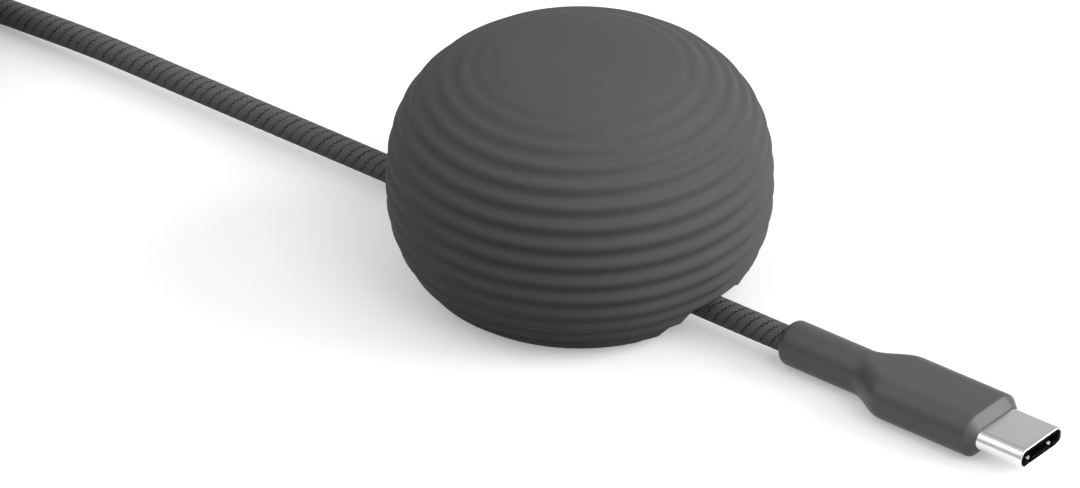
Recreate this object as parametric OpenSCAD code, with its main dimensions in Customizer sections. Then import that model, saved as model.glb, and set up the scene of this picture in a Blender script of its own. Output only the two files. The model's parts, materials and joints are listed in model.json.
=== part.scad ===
// Braided USB-C cable that runs through a ribbed, squashed-ball desk weight.
// +X runs along the cord to the near plug, +Z is up, and the origin is the centre of the
// weight's footprint on the desk. Millimetres throughout.

/* [Weight cover] */
// Greatest diameter of the silicone cover, over the ribs
cover_d = 47.2; // [40:0.1:60]
// Height of the cover above the desk
cover_h = 30.8; // [26:0.1:40]
// Height of the widest ring above the desk
belly_z = 12.6; // [10:0.1:15]
// Width of the ring of cover that stands on the desk, round the base plate
foot_land = 1.6; // [1.2:0.1:2.4]
// Radius of the edge round the foot
foot_edge_r = 1; // [0.4:0.1:1.2]
// Squareness of the outline above the belly, where 2 is an ellipse
upper_fullness = 2.65; // [2:0.05:3.2]
// Squareness of the outline below the belly
lower_fullness = 2.2; // [2:0.1:2.8]
// Wall of the silicone cover
cover_wall = 1.8; // [1.2:0.1:2.4]

/* [Ribs] */
// Distance from one groove to the next, along the outline
rib_pitch = 2.5; // [1.8:0.1:4]
// Depth of the grooves between the ribs
rib_depth = 0.4; // [0.1:0.02:0.6]
// Length of outline from the foot to the first groove
rib_start = 0.6; // [0:0.1:2]
// Diameter of the smooth patch on top
smooth_top_d = 17; // [8:0.5:24]
// Length over which the ribs die away into the smooth top
rib_fade = 13; // [3:0.5:14]

/* [Arch and channel] */
// Width of the bell-shaped arch at the desk, where the cord leaves the rim
arch_foot_w = 17.3; // [14:0.1:17.6]
// Width of the level stretch at the top of the arch
arch_top_w = 5.6; // [4.4:0.1:7]
// Height of the arch
arch_h = 4.8; // [4.7:0.1:5.4]
// Half the length of the narrow channel between the two arches
throat_half = 12.5; // [11:0.1:13.5]
// Wall of the base plate round the arch
arch_wall = 1.2; // [0.8:0.1:1.4]

/* [Base] */
// Height of the base plate's underside above the desk
base_lift = 0.5; // [0.3:0.1:0.8]
// Thickness of the base plate
base_t = 2.5; // [2.2:0.1:3]
// Width of the base plate's rim outside the pads
base_rim = 1; // [0.8:0.1:1.4]
// Thickness of the anti-slip pads
pad_t = 1; // [0.9:0.1:1.2]
// Diameter of the circle that the pads' outer edges follow
pad_d = 30.8; // [30.8:0.1:32]
// Distance between the straight edges of the two pads
pad_gap = 18; // [17.6:0.1:18.4]
// Diameter of the screws' shanks
screw_d = 2; // [1.6:0.1:2.2]
// Diameter of the screws' heads
screw_head_d = 3.8; // [3.4:0.1:3.8]
// Length of the screws, head and all
screw_len = 8; // [6:0.5:12]
// Angle of the screws from the line of the cord, round the middle of the weight
screw_angle = 58.5; // [57:0.5:62]
// Distance from a screw's head to the rim of the pads
screw_edge = 0.1; // [0.1:0.05:0.4]
// Length of the cord clip
clip_len = 20; // [12:0.5:21]
// Wall of the cord clip
clip_wall = 0.75; // [0.6:0.05:1]
// Width of the slit that the cord snaps in through
clip_slit = 2.4; // [2:0.1:2.8]

/* [Cord] */
// Diameter of the braided cord
cord_d = 3.4; // [3:0.1:3.5]
// Room round the cord in its clip
cord_gap = 0.3; // [0.3:0.05:0.4]
// Radius of the coil at the middle of its turns
coil_r = 19; // [17:0.1:19.2]
// Turns beside each other in the coil
coil_columns = 3; // [3:1:3]
// Turns on each other in the coil
coil_rows = 4; // [3:1:4]
// Distance from one turn to the next in the coil
turn_pitch = 3.5; // [3.4:0.05:3.6]
// Width of the strap that ties the coil
tie_w = 8; // [5:0.5:12]
// Thickness of the strap
tie_t = 0.8; // [0.5:0.1:1]

/* [Plug boot] */
// Distance from the middle of the weight to the near plug's boot
plug_x = 32.4; // [31:0.1:40]
// Height of the moulded boot
boot_h = 5.7; // [5.4:0.1:6.2]
// Width of the boot's body
boot_w = 10.6; // [10.2:0.1:12]
// Length of the whole boot
boot_len = 31.1; // [30:0.1:36]
// Length of the round strain relief
relief_len = 11.2; // [10:0.1:12]
// Length of the neck that opens from the strain relief to the body
neck_len = 5.8; // [4:0.1:6.5]
// Radius of the edge round the cord end of the boot
boot_rear_r = 0.9; // [0.4:0.1:1.1]
// Length over which the front of the boot slopes in to the shell
front_len = 1.1; // [0.5:0.1:1.6]
// Width of the flat lip round the shell
front_lip = 0.15; // [0.1:0.05:0.4]

/* [Plug shell] */
// Width of the steel shell
shell_w = 8.34; // [8.3:0.01:8.38]
// Height of the steel shell
shell_h = 2.56; // [2.5:0.01:2.6]
// Length of shell that stands out of the boot
shell_out = 6.75; // [6.2:0.05:6.8]
// Length of shell inside the boot
shell_in = 3.6; // [3:0.1:4]
// Sheet thickness of the shell
shell_t = 0.26; // [0.2:0.01:0.3]

/* [Plug inside] */
// Number of contacts in each row
contact_count = 12; // [12:1:12]
// Distance between contacts
contact_pitch = 0.5; // [0.5:0.01:0.52]
// Width of a contact
contact_w = 0.26; // [0.2:0.01:0.28]
// Sheet thickness of the contacts
contact_t = 0.12; // [0.1:0.01:0.14]
// Height of the slot that the socket's tongue enters
slot_h = 0.96; // [0.9:0.01:1]
// Width of that slot
slot_w = 6.8; // [6.7:0.05:6.9]
// Distance from the shell's mouth back to the housing
housing_recess = 0.2; // [0.15:0.05:0.6]
// Sheet thickness of the latch plate
latch_t = 0.2; // [0.15:0.01:0.25]
// Sheet thickness of the ground springs
spring_t = 0.1; // [0.08:0.01:0.12]
// Distance of each ground finger from the plug's middle
finger_y = 2.05; // [1.9:0.05:2.2]
// Width of a ground finger
finger_w = 0.6; // [0.4:0.05:0.7]
// Width of the paddle card
card_w = 7.2; // [6.6:0.1:7.4]
// Length of the paddle card
card_len = 7; // [6:0.1:7.5]
// Thickness of the paddle card
card_t = 0.6; // [0.5:0.05:0.7]
// Side of the square marker chip
chip_side = 2; // [1.5:0.1:2.4]
// Height of the marker chip
chip_h = 0.5; // [0.4:0.05:0.6]
// Diameter of a conductor over its insulation
wire_d = 0.5; // [0.4:0.05:0.52]
// Sheet thickness of the shield can
can_t = 0.2; // [0.15:0.01:0.22]
// Width of the inner mould
inner_w = 9.4; // [9.2:0.05:9.6]
// Height of the inner mould
inner_h = 4.6; // [4.5:0.05:4.8]
// Length of the crimp ferrule
ferrule_len = 5.9; // [4:0.1:6.5]
// Wall of the crimp ferrule
ferrule_wall = 0.42; // [0.35:0.01:0.45]

/* [Hidden] */
$fn = 64;

// Small gaps: pieces that seat in each other, and how far a cut runs past a face
fit = 0.03;
past = 1;

// Heights that follow from the plug, which lies flat on the desk and sets the cord's height
axis_z = boot_h / 2;
cord_r = cord_d / 2;
cover_r = cover_d / 2;
base_d = pad_d + 2 * base_rim;
foot_r = base_d / 2 + foot_land;
base_top = base_lift + base_t;
clip_in_r = cord_r + cord_gap;
clip_out_r = clip_in_r + clip_wall;
ridge_w = (arch_foot_w + arch_top_w) / 2 + 2 * arch_wall;
ridge_top = max(arch_h, axis_z + clip_out_r) + arch_wall;

// Outline of the cover: two quarter superellipses that meet at the belly
lower_h = belly_z / pow(1 - pow(foot_r / cover_r, lower_fullness), 1 / lower_fullness);
upper_h = cover_h - belly_z;
foot_angle = asin(pow(belly_z / lower_h, lower_fullness / 2));
outline_steps = 120;

function flank(t) = [
    cover_r * pow(cos(t), 2 / lower_fullness),
    belly_z - lower_h * pow(sin(t), 2 / lower_fullness)
];
function crown(t) = [
    cover_r * pow(cos(t), 2 / upper_fullness),
    belly_z + upper_h * pow(sin(t), 2 / upper_fullness)
];
outline = concat(
    [for (i = [0:outline_steps - 1]) flank(foot_angle * (1 - i / outline_steps))],
    [for (i = [0:outline_steps]) crown(90 * i / outline_steps)]
);

// Length along the outline, and the point at a given length
outline_len = [
    for (i = 0, s = 0; i < len(outline);
        s = s + (i + 1 < len(outline) ? norm(outline[i + 1] - outline[i]) : 0), i = i + 1) s
];
outline_total = outline_len[len(outline) - 1];
radius_at_len = [for (i = [0:len(outline) - 1]) [outline_len[i], outline[i][0]]];
height_at_len = [for (i = [0:len(outline) - 1]) [outline_len[i], outline[i][1]]];
function outline_at(s) = [lookup(s, radius_at_len), lookup(s, height_at_len)];
function unit(v) = v / norm(v);
normal_reach = 0.25;
function outward_at(s) =
    let (d = unit(outline_at(min(s + normal_reach, outline_total)) - outline_at(max(s - normal_reach, 0))))
    [d[1], -d[0]];

// Ribs: rounded grooves at an even pitch, dying away towards the smooth top and the foot
function ease(t) = t <= 0 ? 0 : t >= 1 ? 1 : t * t * (3 - 2 * t);
function groove_at(s) =
    rib_depth * pow(cos(180 * (s - rib_start) / rib_pitch), 2)
    * ease((outline_at(s)[0] - smooth_top_d / 2) / rib_fade) * ease(s / foot_edge_r);
function foot_round(z) =
    z >= foot_edge_r ? 0 : foot_edge_r - sqrt(pow(foot_edge_r, 2) - pow(foot_edge_r - z, 2));
function skin_at(s) =
    let (p = outline_at(s) - groove_at(s) * outward_at(s))
    [max(p[0] - foot_round(max(p[1], 0)), 0), max(p[1], 0)];

steps_per_rib = 7;
skin_step = rib_pitch / steps_per_rib;
foot_steps = 5;
ribbed_len = outline_total - smooth_top_d / 2;
top_steps = 6;
skin_lens = concat(
    [for (i = [0:foot_steps - 1]) skin_step * pow(i / foot_steps, 2)],
    [for (s = skin_step; s < ribbed_len; s = s + skin_step) s],
    [for (i = [0:top_steps - 1]) ribbed_len + (outline_total - ribbed_len) * i / top_steps]
);
inner_steps = 40;

// Cord route between the near plug and the coil, then from the coil to the far plug
coil_width = (coil_columns - 1) * turn_pitch + cord_d;
coil_height = (coil_rows - 1) * turn_pitch + cord_d;
coil_out_r = coil_r + coil_width / 2;
coil_in_r = coil_r - coil_width / 2;
entry_r = coil_out_r - cord_r;
coil_x = -108;
coil_at = [coil_x, -entry_r, 0];
straight_end = -74;
straight_rings = 13;
run_route = concat(
    [for (i = [0:straight_rings - 1]) [plug_x + (straight_end - plug_x) * i / straight_rings, 0, axis_z]],
    [[straight_end, 0, axis_z], [-80, 0, 2.7], [-86, 0, 2.4], [-91, 0, 2.1], [-97, 0, 1.8]]
);
tail_route = [
    [-103, 3.2, 8.4], [-108, 4.6, 7.3], [-113, 5, 6.2], [-118, 4.3, 5.3], [-123, 2.4, 4.5],
    [-128, -0.9, 3.8], [-132.5, -4.9, 3.3], [-135.9, -9.4, 3], [-137.6, -13.2, 2.9],
    [-138, -16, axis_z], [-138, -18, axis_z]
];
tube_sides = 8;
tie_angle = 250;

// Plug, measured from the cord end of its boot towards its mouth
far_plug_at = [-138, -18, axis_z];
far_plug_turn = -90;
body_start = relief_len + neck_len;
shell_back = boot_len - shell_in;
mouth_x = boot_len + shell_out;
housing_front = mouth_x - housing_recess;
housing_back = shell_back - 0.4;
card_back = housing_back - card_len;
inner_front = boot_len - front_len - 0.2;
can_front = inner_front - 0.4;
can_back = body_start + 0.6;
can_w = shell_w + 2 * (fit + can_t);
can_h = shell_h + 2 * (fit + can_t);
ferrule_out_r = cord_r + fit + ferrule_wall;
ferrule_back = can_back - 3.4 - ferrule_len;
collar_out_r = ferrule_out_r;
collar_back = ferrule_back + ferrule_len + fit;
cord_end_len = ferrule_back + 1.9;
contact_span = (contact_count - 1) * contact_pitch;
slot_depth = 6.6;
slot_back = mouth_x - slot_depth;
beam_z = slot_h / 2 + contact_t;
tail_z = card_t / 2 + contact_t / 2;

function centred_row(count, pitch) = [for (i = [0:count - 1]) (i - (count - 1) / 2) * pitch];

// Draws its 2D children in the Y-Z plane and runs them along X
module along_x(from, length) {
    translate([from, 0, 0]) rotate([90, 0, 90]) linear_extrude(length) children();
}

module stadium(w, h) {
    square([w - h, h], center = true);
    for (side = [-1, 1]) translate([side * (w - h) / 2, 0]) circle(d = h);
}

// Sweeps a 2D child (radius, length) round a stadium whose straight runs are this long
module round_stadium(straight) {
    for (side = [0, 180]) rotate([0, 0, side]) {
        translate([straight / 2, 0, 0]) rotate([0, 0, -90]) rotate_extrude(angle = 180) children();
        translate([-straight / 2, 0, 0]) rotate([90, 0, 90]) linear_extrude(straight) children();
    }
}

// Weight

module cover_outside() {
    points = concat([[0, 0]], [for (s = skin_lens) skin_at(s)], [[0, cover_h]]);
    rotate_extrude() polygon(points);
}

// Space inside the cover, shrunk by a gap for what seats in it
module cover_inside(gap) {
    inset = cover_wall + gap;
    curve = [
        for (i = [0:inner_steps - 1])
            let (s = outline_total * i / inner_steps)
            outline_at(s) - inset * outward_at(s)
    ];
    points = concat([[0, curve[0][1]]], curve, [[0, cover_h - inset]]);
    intersection() {
        rotate_extrude() polygon(points);
        translate([0, 0, base_top]) cylinder(r = cover_r, h = cover_h);
    }
}

function arc(centre, r, from, to, steps) = [
    for (i = [0:steps])
        let (a = from + (to - from) * i / steps)
        centre + r * [cos(a), sin(a)]
];

// Bell shape: level over the cord, then down to the desk in one smooth curve on each side
arch_steps = 14;
module arch_outline() {
    right = concat(
        [[arch_foot_w / 2, -past]],
        [for (i = [0:arch_steps])
            let (t = i / arch_steps)
            [arch_foot_w / 2 * (1 - t) + arch_top_w / 2 * t, arch_h * ease(t)]]
    );
    left = [for (i = [len(right) - 1:-1:0]) [-right[i][0], right[i][1]]];
    polygon(concat(right, left));
}

// The two arches, from the narrow channel out through the rim
module arch_ends() {
    for (side = [0, 180]) rotate([0, 0, side]) along_x(throat_half, cover_r) arch_outline();
}

// Block over the arches and the channel, as wide as its walls and a gap need
module ridge_block(gap) {
    along_x(-cover_r, cover_d)
        translate([-ridge_w / 2 - gap, base_lift]) square([ridge_w + 2 * gap, ridge_top + gap - base_lift]);
}

module at_screws() {
    ring_r = (pad_d - screw_head_d) / 2 - screw_edge;
    for (start = [0, 180], a = [-screw_angle, screw_angle])
        rotate([0, 0, start + a]) translate([ring_r, 0, pad_t]) children();
}

module screw_shape(gap) {
    head_h = (screw_head_d - screw_d) / 2;
    cylinder(d1 = screw_head_d + 2 * gap, d2 = screw_d + 2 * gap, h = head_h + gap);
    cylinder(d = screw_d + 2 * gap, h = screw_len + gap);
}

module pad_outline(gap) {
    difference() {
        circle(d = pad_d + 2 * gap);
        translate([-pad_d, -pad_d]) square([2 * pad_d, pad_d + pad_gap / 2 - gap]);
    }
}

module weight_cover() color("#3c3c3e") difference() {
    cover_outside();
    cover_inside(0);
    translate([0, 0, -past]) cylinder(d = base_d + 2 * fit, h = base_top + 2 * past);
    arch_ends();
}

module weight_core() color("#8f9194") difference() {
    cover_inside(fit);
    ridge_block(fit);
    at_screws() screw_shape(fit);
}

module base_plate() color("#2a2a2c") difference() {
    union() {
        translate([0, 0, base_lift]) cylinder(d = base_d, h = base_t);
        intersection() {
            ridge_block(0);
            cover_inside(fit);
        }
    }
    arch_ends();
    // Seat of the clip, open below so that the clip and the cord go in from underneath
    along_x(-clip_len / 2 - fit, clip_len + 2 * fit) {
        translate([0, axis_z]) circle(r = clip_out_r + fit);
        translate([-clip_out_r - fit, 0]) square([2 * (clip_out_r + fit), axis_z]);
    }
    // Way for the cord at the ends of the clip
    along_x(-cover_r, cover_d) {
        translate([0, axis_z]) circle(r = clip_in_r);
        translate([-clip_in_r, 0]) square([2 * clip_in_r, axis_z]);
    }
    for (side = [0, 180]) rotate([0, 0, side]) linear_extrude(pad_t) pad_outline(fit);
    at_screws() screw_shape(fit);
}

module cord_clip() color("#1f1f20") along_x(-clip_len / 2, clip_len) difference() {
    translate([0, axis_z]) circle(r = clip_out_r);
    translate([0, axis_z]) circle(r = clip_in_r);
    translate([-clip_slit / 2, 0]) square([clip_slit, axis_z]);
    translate([-clip_out_r, base_lift - clip_out_r]) square([2 * clip_out_r, clip_out_r]);
}

module base_screws() color("#b4b6b8") at_screws() difference() {
    screw_shape(0);
    for (turn = [0, 90]) rotate([0, 0, turn])
        cube([screw_d * 1.1, screw_d / 4, screw_d * 0.6], center = true);
}

module left_pad() color("#202021") linear_extrude(pad_t) pad_outline(0);

module right_pad() color("#202021") rotate([0, 0, 180]) linear_extrude(pad_t) pad_outline(0);

// Cord

function path_direction(route, i) =
    unit(route[min(i + 1, len(route) - 1)] - route[max(i - 1, 0)]);
function path_ring(route, i, r) =
    let (
        t = path_direction(route, i),
        across = unit(cross([0, 0, 1], t)),
        upward = cross(t, across)
    )
    [for (k = [0:tube_sides - 1])
        let (a = 360 * (k + 0.5) / tube_sides)
        route[i] + r * (cos(a) * across + sin(a) * upward)];

// Closed skin over a stack of rings that all have the same number of points
module ring_skin(rings) {
    n = len(rings[0]);
    last = len(rings) - 1;
    polyhedron(
        points = [for (r = rings) each r],
        faces = concat(
            [[for (k = [0:n - 1]) k]],
            [for (i = [0:last - 1], k = [0:n - 1])
                [i * n + k, (i + 1) * n + k, (i + 1) * n + (k + 1) % n, i * n + (k + 1) % n]],
            [[for (k = [n - 1:-1:0]) last * n + k]]
        )
    );
}

// Round tube along a route of points
module tube(route, r) {
    ring_skin([for (i = [0:len(route) - 1]) path_ring(route, i, r)]);
}

// Section of the wound turns, with corners as round as the cord, and of the strap round it
corner_steps = 4;
module coil_section(grow, lift) {
    in_x = coil_in_r + cord_r;
    out_x = coil_out_r - cord_r;
    low_z = lift + cord_r;
    high_z = lift + coil_height - cord_r;
    polygon(concat(
        arc([out_x, low_z], cord_r + grow, -90, 0, corner_steps),
        arc([out_x, high_z], cord_r + grow, 0, 90, corner_steps),
        arc([in_x, high_z], cord_r + grow, 90, 180, corner_steps),
        arc([in_x, low_z], cord_r + grow, 180, 270, corner_steps)
    ));
}

// Cuts through the coil where the strap goes round it, as wide as the strap
module across_coil() {
    translate(coil_at) rotate([0, 0, tie_angle]) translate([0, tie_w / 2, 0]) rotate([90, 0, 0])
        linear_extrude(tie_w) children();
}

module tie_band() {
    across_coil() difference() {
        coil_section(tie_t, tie_t);
        coil_section(0, tie_t);
    }
}

module cord_run() color("#4c4c4e") tube(run_route, cord_r);

module cord_coil() color("#4c4c4e") difference() {
    translate(coil_at) rotate_extrude() coil_section(0, 0);
    tie_band();
    across_coil() translate([coil_in_r - tie_w, -past]) square([coil_width + 2 * tie_w, past + tie_t]);
}

module cord_tail() color("#4c4c4e") tube(tail_route, cord_r);

module cord_tie() color("#262627") tie_band();

// Plug, drawn from the cord end of the boot at the origin towards +X

boot_half_steps = 12;
function boot_ring(x, straight, r) =
    concat(
        [for (i = [0:boot_half_steps])
            let (a = -90 + 180 * i / boot_half_steps) [x, straight + r * cos(a), r * sin(a)]],
        [for (i = [0:boot_half_steps])
            let (a = 90 + 180 * i / boot_half_steps) [x, -straight + r * cos(a), r * sin(a)]]
    );
least_straight = 0.02;
function boot_straight(x) =
    least_straight + ((boot_w - boot_h) / 2 - least_straight) * ease((x - relief_len) / neck_len);
rear_steps = 4;
neck_steps = 12;
boot_rings = concat(
    [for (i = [0:rear_steps])
        let (a = 90 * i / rear_steps)
        boot_ring(boot_rear_r * (1 - cos(a)), least_straight, boot_h / 2 - boot_rear_r * (1 - sin(a)))],
    [for (i = [0:neck_steps])
        let (x = relief_len + neck_len * i / neck_steps)
        boot_ring(x, boot_straight(x), boot_h / 2)],
    [for (t = [0:0.5:1])
        boot_ring(
            boot_len - front_len * (1 - t),
            boot_straight(boot_len) * (1 - t) + (shell_w - shell_h) / 2 * t,
            boot_h / 2 * (1 - t) + (shell_h / 2 + fit + front_lip) * t
        )]
);

module boot_shape() color("#57575a") difference() {
    ring_skin(boot_rings);
    along_x(-past, ferrule_back + 2 * past) circle(r = cord_r + fit);
    along_x(ferrule_back - fit, can_back - ferrule_back) circle(r = ferrule_out_r + fit);
    along_x(body_start, inner_front - body_start + fit) stadium(inner_w + 2 * fit, inner_h + 2 * fit);
    along_x(inner_front, boot_len) stadium(shell_w + 2 * fit, shell_h + 2 * fit);
}

module shell_shape() color("#c9cbcd") translate([shell_back, 0, 0]) rotate([90, 0, 90]) {
    length = mouth_x - shell_back;
    r = shell_h / 2;
    round_stadium(shell_w - shell_h) polygon(concat(
        [[r - shell_t, 0], [r, 0]],
        arc([r - shell_t / 2, length - shell_t / 2], shell_t / 2, 0, 180, 8)
    ));
}

module mirrored_in_z(flip) {
    mirror([0, 0, flip ? 1 : 0]) children();
}

spring_back = mouth_x - 4.5;
spring_front = mouth_x - 1.6;
spring_half_w = 2.85;
housing_w = shell_w - 2 * shell_t - 2 * fit;
housing_h = shell_h - 2 * shell_t - 2 * fit;
spring_z = housing_h / 2 - spring_t;
latch_back = housing_back + 0.7;
latch_root = 2;
latch_arm_y = slot_w / 2 + 0.12;
latch_tip = mouth_x - 1.3;
hook_reach = 0.45;

module housing_shape() color("#161617") difference() {
    along_x(housing_back, housing_front - housing_back) stadium(housing_w, housing_h);
    along_x(slot_back, mouth_x) square([slot_w, slot_h], center = true);
    // Groove for each contact, in both walls
    groove_len = mouth_x - 1.2 - housing_back + past;
    groove_low = card_t / 2 - fit;
    groove_high = beam_z + contact_t;
    for (y = centred_row(contact_count, contact_pitch), side = [0, 1]) mirrored_in_z(side == 1)
        translate([housing_back - past, y - contact_w / 2 - fit, groove_low])
            cube([groove_len, contact_w + 2 * fit, groove_high - groove_low]);
    // Slot for the latch plate and its two arms
    translate([latch_back - fit, -latch_arm_y - latch_t - fit, -latch_t / 2 - fit])
        cube([slot_back - latch_back + past, 2 * (latch_arm_y + latch_t + fit), latch_t + 2 * fit]);
    for (side = [0, 1]) mirror([0, side, 0])
        translate([slot_back - fit, latch_arm_y - past, -latch_t / 2 - fit])
            cube([latch_tip - slot_back + 2 * fit, latch_t + past + fit, latch_t + 2 * fit]);
    for (side = [0, 1]) mirrored_in_z(side == 1) {
        translate([spring_back - fit, -spring_half_w - fit, spring_z - fit])
            cube([spring_front - spring_back + 2 * fit, 2 * (spring_half_w + fit), housing_h]);
        for (y = [-finger_y, finger_y])
            translate([spring_front - fit, y - finger_w / 2 - fit, slot_h / 2 - fit])
                cube([mouth_x, finger_w + 2 * fit, housing_h]);
    }
}

// A strip of even thickness that follows a line of (length, height) points
module strip(line, thickness, w) {
    upper = [for (p = line) p + [0, thickness / 2]];
    lower = [for (i = [len(line) - 1:-1:0]) line[i] - [0, thickness / 2]];
    translate([0, w / 2, 0]) rotate([90, 0, 0]) linear_extrude(w) polygon(concat(upper, lower));
}

module contacts_shape(flip) color("#c8a24a") mirrored_in_z(flip) {
    beam = [
        [housing_back - 1.3, tail_z], [housing_back + 0.2, tail_z], [housing_back + 0.9, beam_z],
        [mouth_x - 3.4, beam_z], [mouth_x - 2.3, slot_h / 2 - contact_t / 2], [mouth_x - 1.5, beam_z]
    ];
    for (y = centred_row(contact_count, contact_pitch))
        translate([0, y, 0]) strip(beam, contact_t, contact_w);
}

module latch_shape() color("#b9bcbf") translate([0, 0, -latch_t / 2]) linear_extrude(latch_t) {
    right = [
        [latch_back, latch_arm_y + latch_t], [latch_back + latch_root, latch_arm_y + latch_t],
        [latch_tip, latch_arm_y + latch_t], [latch_tip, latch_arm_y],
        [latch_tip - 0.5, latch_arm_y - hook_reach], [latch_tip - 0.8, latch_arm_y - hook_reach],
        [latch_tip - 1.3, latch_arm_y], [latch_back + latch_root, latch_arm_y]
    ];
    left = [for (i = [len(right) - 1:-1:0]) [right[i][0], -right[i][1]]];
    polygon(concat(right, left));
}

module spring_shape(flip) color("#d2d4d6") mirrored_in_z(flip) {
    mid = spring_z + spring_t / 2;
    finger = [
        [spring_front - 0.5, mid], [spring_front + 0.1, mid], [spring_front + 0.75, slot_h / 2 - 0.02],
        [spring_front + 0.95, slot_h / 2 - 0.02], [spring_front + 1.2, slot_h / 2 + 0.15]
    ];
    translate([spring_back, -spring_half_w, spring_z])
        cube([spring_front - spring_back, 2 * spring_half_w, spring_t]);
    for (y = [-finger_y, finger_y]) translate([0, y, 0]) strip(finger, spring_t, finger_w);
}

module card_shape() color("#2f6b46") translate([card_back, -card_w / 2, -card_t / 2])
    cube([card_len, card_w, card_t]);

module chip_shape() color("#1b1b1c")
    translate([card_back + card_len / 2 - chip_side / 4, -chip_side / 2, card_t / 2])
        cube([chip_side, chip_side, chip_h]);

module inner_mould_shape() color("#6c6c70") difference() {
    along_x(body_start + fit, inner_front - body_start - fit) stadium(inner_w, inner_h);
    along_x(can_back - fit, can_front - can_back + 2 * fit) stadium(can_w + 2 * fit, can_h + 2 * fit);
    along_x(can_front, boot_len) stadium(shell_w + 2 * fit, shell_h + 2 * fit);
    along_x(body_start - past, boot_len - body_start) circle(r = collar_out_r + fit);
}

module can_shape() color("#bfc1c3") difference() {
    union() {
        along_x(can_back, can_front - can_back) stadium(can_w, can_h);
        along_x(collar_back, can_back + can_t - collar_back) circle(r = collar_out_r);
    }
    along_x(can_back + can_t, boot_len) stadium(can_w - 2 * can_t, can_h - 2 * can_t);
    along_x(0, can_back + can_t) circle(r = collar_out_r - can_t);
}

module ferrule_shape() color("#b58a3c") along_x(ferrule_back, ferrule_len) difference() {
    circle(r = ferrule_out_r);
    circle(r = cord_r + fit);
}

module cord_end_shape() color("#4c4c4e") along_x(0, cord_end_len) circle(r = cord_r);

module conductors_shape() color("#b23b2e") {
    pad_z = card_t / 2 + wire_d / 2 + fit;
    bundle_pitch = wire_d + 0.08;
    pad_pitch = 1.6;
    for (side = [-1, 1], i = [-1.5:1:1.5]) tube([
        [cord_end_len + fit, i * bundle_pitch, side * pad_z],
        [can_back + can_t, i * bundle_pitch, side * pad_z],
        [card_back + 0.3, i * pad_pitch, side * pad_z],
        [card_back + 1.6, i * pad_pitch, side * pad_z]
    ], wire_d / 2);
}

module near_plug() {
    translate([plug_x, 0, axis_z]) children();
}

module far_plug() {
    translate(far_plug_at) rotate([0, 0, far_plug_turn]) children();
}

weight_cover();
weight_core();
base_plate();
cord_clip();
base_screws();
left_pad();
right_pad();
cord_run();
cord_coil();
cord_tail();
cord_tie();
near_plug() boot_shape();  // boot
near_plug() shell_shape();  // shell
near_plug() housing_shape();  // housing
near_plug() contacts_shape(false);  // upper_contacts
near_plug() contacts_shape(true);  // lower_contacts
near_plug() latch_shape();  // latch_plate
near_plug() spring_shape(false);  // upper_ground_spring
near_plug() spring_shape(true);  // lower_ground_spring
near_plug() card_shape();  // paddle_card
near_plug() chip_shape();  // marker_chip
near_plug() inner_mould_shape();  // inner_mould
near_plug() can_shape();  // shield_can
near_plug() ferrule_shape();  // crimp_ferrule
near_plug() cord_end_shape();  // cord_end
near_plug() conductors_shape();  // conductors
far_plug() boot_shape();  // far_boot
far_plug() shell_shape();  // far_shell
far_plug() housing_shape();  // far_housing
far_plug() contacts_shape(false);  // far_upper_contacts
far_plug() contacts_shape(true);  // far_lower_contacts
far_plug() latch_shape();  // far_latch_plate
far_plug() spring_shape(false);  // far_upper_ground_spring
far_plug() spring_shape(true);  // far_lower_ground_spring
far_plug() card_shape();  // far_paddle_card
far_plug() chip_shape();  // far_marker_chip
far_plug() inner_mould_shape();  // far_inner_mould
far_plug() can_shape();  // far_shield_can
far_plug() ferrule_shape();  // far_crimp_ferrule
far_plug() cord_end_shape();  // far_cord_end
far_plug() conductors_shape();  // far_conductors
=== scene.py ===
"""Looks of a braided USB-C cable that runs through a ribbed desk weight.

Lengths are written in millimetres, as in the part's source, and turned into metres when a mesh is made.
+X runs along the cord to the near plug, +Z is up, and the weight stands on the origin.
"""

import json
import math

import bmesh
import bpy
import numpy as np
from mathutils import Matrix, Vector


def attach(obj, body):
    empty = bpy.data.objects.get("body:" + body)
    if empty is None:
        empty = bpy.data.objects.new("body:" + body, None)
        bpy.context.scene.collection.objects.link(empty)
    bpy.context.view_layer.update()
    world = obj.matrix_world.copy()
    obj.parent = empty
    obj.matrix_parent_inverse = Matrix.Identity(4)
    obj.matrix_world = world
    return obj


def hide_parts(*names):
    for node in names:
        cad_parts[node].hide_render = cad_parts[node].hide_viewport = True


MM = 0.001
MICRON = 0.000001
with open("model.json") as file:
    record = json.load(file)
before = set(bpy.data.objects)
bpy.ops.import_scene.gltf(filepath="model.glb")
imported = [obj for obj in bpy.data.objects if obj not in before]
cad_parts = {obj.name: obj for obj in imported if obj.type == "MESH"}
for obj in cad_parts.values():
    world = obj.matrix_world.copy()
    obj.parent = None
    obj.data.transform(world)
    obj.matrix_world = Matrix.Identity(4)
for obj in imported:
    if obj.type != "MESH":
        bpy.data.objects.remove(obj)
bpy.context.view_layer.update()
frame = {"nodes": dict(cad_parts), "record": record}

# Weight cover, as in the part's source
COVER_R = 23.6
COVER_H = 30.8
BELLY_Z = 12.6
FOOT_R = 18.0
FOOT_EDGE_R = 1.0
UPPER_FULLNESS = 2.65
LOWER_FULLNESS = 2.2
COVER_WALL = 1.8
RIB_PITCH = 2.5
RIB_DEPTH = 0.4
RIB_START = 0.6
SMOOTH_TOP_R = 8.5
RIB_FADE = 13.0
BASE_R = 16.43
BASE_TOP = 3.0
ARCH_H = 4.8
ARCH_TOP_HALF = 2.8
ARCH_FOOT_HALF = 8.65

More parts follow.
